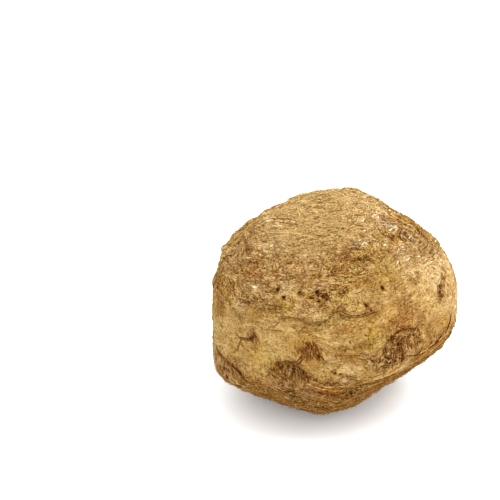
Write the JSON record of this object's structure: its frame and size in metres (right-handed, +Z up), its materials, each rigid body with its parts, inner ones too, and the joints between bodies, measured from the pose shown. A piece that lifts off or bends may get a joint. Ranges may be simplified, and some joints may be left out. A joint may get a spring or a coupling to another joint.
{
  "type": "celeriac root",
  "caption": "Trimmed celeriac root: a blunt, tan, corky vegetable root with leaf-scar ridges round its crown and dished root scars, standing on a small flat spot.",
  "frame": {"origin": "on the flat spot that the root rests on, under its weight", "axes": "+Z up from the resting spot towards the crown; +X across the widest side, to the right of a viewer who looks along +Y"},
  "size_m": [0.1136, 0.1116, 0.1003],
  "materials": {
    "root_skin": "dry, corky vegetable skin, tan with brown scars and fibres, matt"
  },
  "bodies": {
    "root": {"celeriac_root": "root_skin"}
  },
  "joints": []
}
